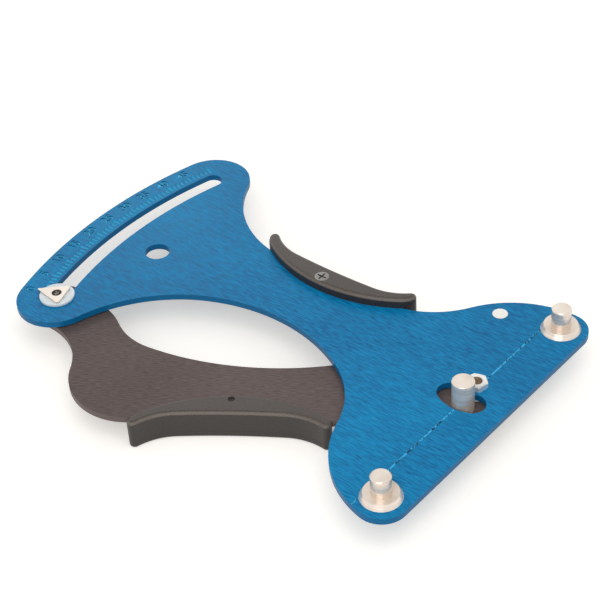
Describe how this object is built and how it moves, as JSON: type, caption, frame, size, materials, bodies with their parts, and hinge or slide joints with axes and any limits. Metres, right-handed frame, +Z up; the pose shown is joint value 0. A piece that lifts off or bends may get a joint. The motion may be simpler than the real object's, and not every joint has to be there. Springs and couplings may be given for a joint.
{
  "type": "spoke tension meter",
  "caption": "Hand tool that clamps a wheel spoke between two fixed posts and a sprung moving post and reads its tension from a pointer on an arc scale.",
  "frame": {"origin": "middle of the whole tool in plan, on the plane that the grips rest on", "axes": "+X from the scale towards the straight edge with the posts, +Y from the near post towards the far post, +Z up through the plates"},
  "size_m": [0.2594, 0.1884, 0.0312],
  "materials": {
    "blue_anodised": "brushed and blue anodised",
    "brown_anodised": "brushed and charcoal anodised",
    "grip_black": "fine moulded texture",
    "nickel": "nickel plated, turned",
    "steel": "zinc plated",
    "dark_steel": "black oxide",
    "satin_silver": "satin",
    "brass": "turned",
    "nylon": "translucent white"
  },
  "bodies": {
    "frame": {"body_plate": "blue_anodised", "fixed_post_near": "nickel", "fixed_post_far": "nickel", "near_post_screw": "dark_steel", "far_post_screw": "dark_steel", "pivot_bolt": "steel", "pivot_nut": "nickel", "pivot_bush": "brass", "pivot_washer_upper": "nylon", "pivot_washer_lower": "steel", "spring_anchor": "nickel", "body_grip_upper": "grip_black", "body_grip_lower": "grip_black", "body_grip_screw": "steel", "body_grip_nut": "steel"},
    "lever": {"lever_plate": "brown_anodised", "moving_post": "nickel", "moving_post_screw": "dark_steel", "pointer": "satin_silver", "pointer_screw": "steel", "pointer_spacer": "nylon", "slide_washer_upper": "nylon", "slide_washer_lower": "nylon", "lever_grip": "grip_black", "lever_grip_screw": "dark_steel", "spring_post": "steel", "return_spring": "steel"}
  },
  "joints": [
    {"name": "lever_pivot", "type": "hinge", "parent": "frame", "child": "lever", "pos_m": [0.10775, 0.02208, 0.0132], "axis": [0, 0, -1], "range_deg": [0, 32.5], "stiffness_Nm_per_rad": 0.61, "springref_deg": -13.58, "deforming": ["return_spring"]}
  ]
}
